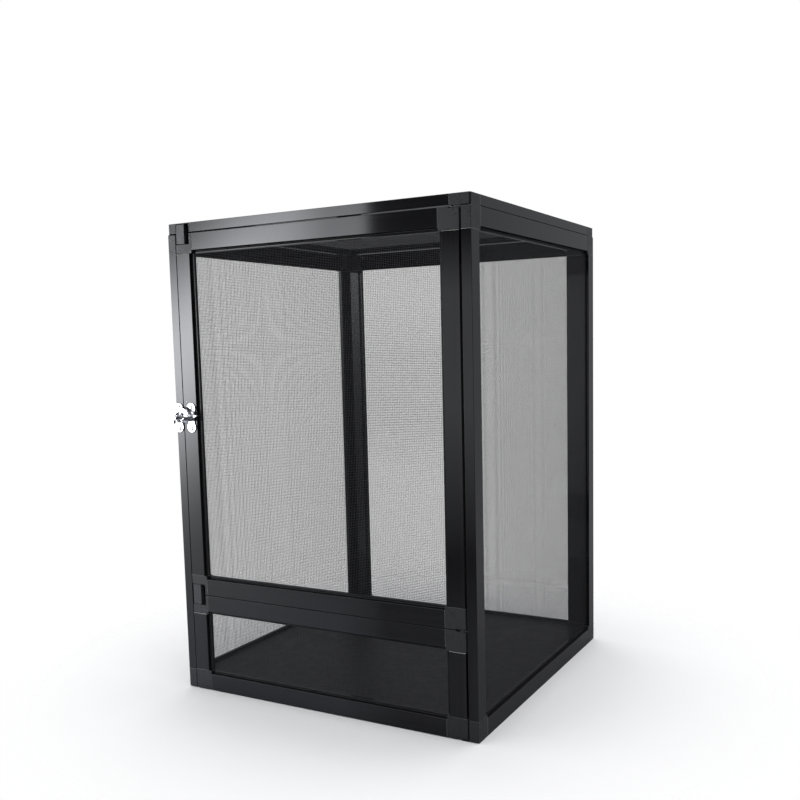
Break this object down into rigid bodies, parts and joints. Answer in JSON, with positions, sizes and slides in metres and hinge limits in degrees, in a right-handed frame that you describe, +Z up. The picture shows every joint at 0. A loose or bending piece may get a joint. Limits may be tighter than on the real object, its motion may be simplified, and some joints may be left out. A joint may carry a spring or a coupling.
{
  "type": "reptile terrarium",
  "caption": "Upright screen cage with black aluminium rails, two hinged mesh front doors, a bright hook clasp, sliding clips, a lift-off mesh lid and a dark floor board.",
  "frame": {"origin": "bottom centre of the whole footprint, clasp included, on the ground", "axes": "+X to the hinge side of the doors, -Y out of the front, +Z up"},
  "size_m": [0.3222, 0.333, 0.46],
  "materials": {
    "frame_aluminium": "satin black anodised, fine lengthwise brushing",
    "corner_plastic": "matte moulded black plastic",
    "screen_wire": "black coated woven wire",
    "spline_rubber": "matte black",
    "floor_board": "smooth dark board",
    "hinge_steel": "blackened steel",
    "clasp_chrome": "bright plated"
  },
  "bodies": {
    "cage": {"left_front_stile": "frame_aluminium", "left_rear_stile": "frame_aluminium", "left_top_rail": "frame_aluminium", "left_bottom_rail": "frame_aluminium", "left_corners": "corner_plastic", "left_screen": "screen_wire", "left_spline": "spline_rubber", "right_front_stile": "frame_aluminium", "right_rear_stile": "frame_aluminium", "right_top_rail": "frame_aluminium", "right_bottom_rail": "frame_aluminium", "right_corners": "corner_plastic", "right_screen": "screen_wire", "right_spline": "spline_rubber", "rear_left_stile": "frame_aluminium", "rear_right_stile": "frame_aluminium", "rear_top_rail": "frame_aluminium", "rear_bottom_rail": "frame_aluminium", "rear_corners": "corner_plastic", "rear_screen": "screen_wire", "rear_spline": "spline_rubber", "floor_board": "floor_board", "door_stop": "corner_plastic", "hinge_bracket_top": "hinge_steel", "hinge_bracket_middle": "hinge_steel", "hinge_bracket_bottom": "hinge_steel", "catch_plate": "clasp_chrome"},
    "lid": {"lid_front_rail": "frame_aluminium", "lid_rear_rail": "frame_aluminium", "lid_left_rail": "frame_aluminium", "lid_right_rail": "frame_aluminium", "lid_corners": "corner_plastic", "lid_screen": "screen_wire", "lid_spline": "spline_rubber", "lid_dowels": "corner_plastic"},
    "upper_door": {"upper_door_latch_stile": "frame_aluminium", "upper_door_hinge_stile": "frame_aluminium", "upper_door_top_rail": "frame_aluminium", "upper_door_bottom_rail": "frame_aluminium", "upper_door_corners": "corner_plastic", "upper_door_screen": "screen_wire", "upper_door_spline": "spline_rubber", "hook_plate": "clasp_chrome", "hook_rivet": "clasp_chrome"},
    "lower_door": {"lower_door_latch_stile": "frame_aluminium", "lower_door_hinge_stile": "frame_aluminium", "lower_door_top_rail": "frame_aluminium", "lower_door_bottom_rail": "frame_aluminium", "lower_door_corners": "corner_plastic", "lower_door_screen": "screen_wire", "lower_door_spline": "spline_rubber"},
    "lid_clip": {"lid_clip": "corner_plastic"},
    "door_clip": {"door_clip": "corner_plastic"},
    "hook": {"hook": "clasp_chrome"}
  },
  "joints": [
    {"name": "upper_door_hinge", "type": "hinge", "parent": "cage", "child": "upper_door", "pos_m": [0.1466, -0.15, 0.2737], "axis": [0, 0, 1], "range_deg": [0, 110]},
    {"name": "lower_door_hinge", "type": "hinge", "parent": "cage", "child": "lower_door", "pos_m": [0.1466, -0.15, 0.0489], "axis": [0, 0, 1], "range_deg": [0, 110]},
    {"name": "lid_lift", "type": "slide", "parent": "cage", "child": "lid", "axis": [0, 0, 1], "range_m": [0, 0.08]},
    {"name": "hook_pivot", "type": "hinge", "parent": "upper_door", "child": "hook", "pos_m": [-0.1397, -0.1591, 0.2736], "axis": [0, 1, 0], "range_deg": [0, 120]},
    {"name": "lid_clip_slide", "type": "slide", "parent": "upper_door", "child": "lid_clip", "axis": [1, 0, 0], "range_m": [0, 0.005]},
    {"name": "door_clip_slide", "type": "slide", "parent": "upper_door", "child": "door_clip", "axis": [1, 0, 0], "range_m": [0, 0.005]}
  ]
}
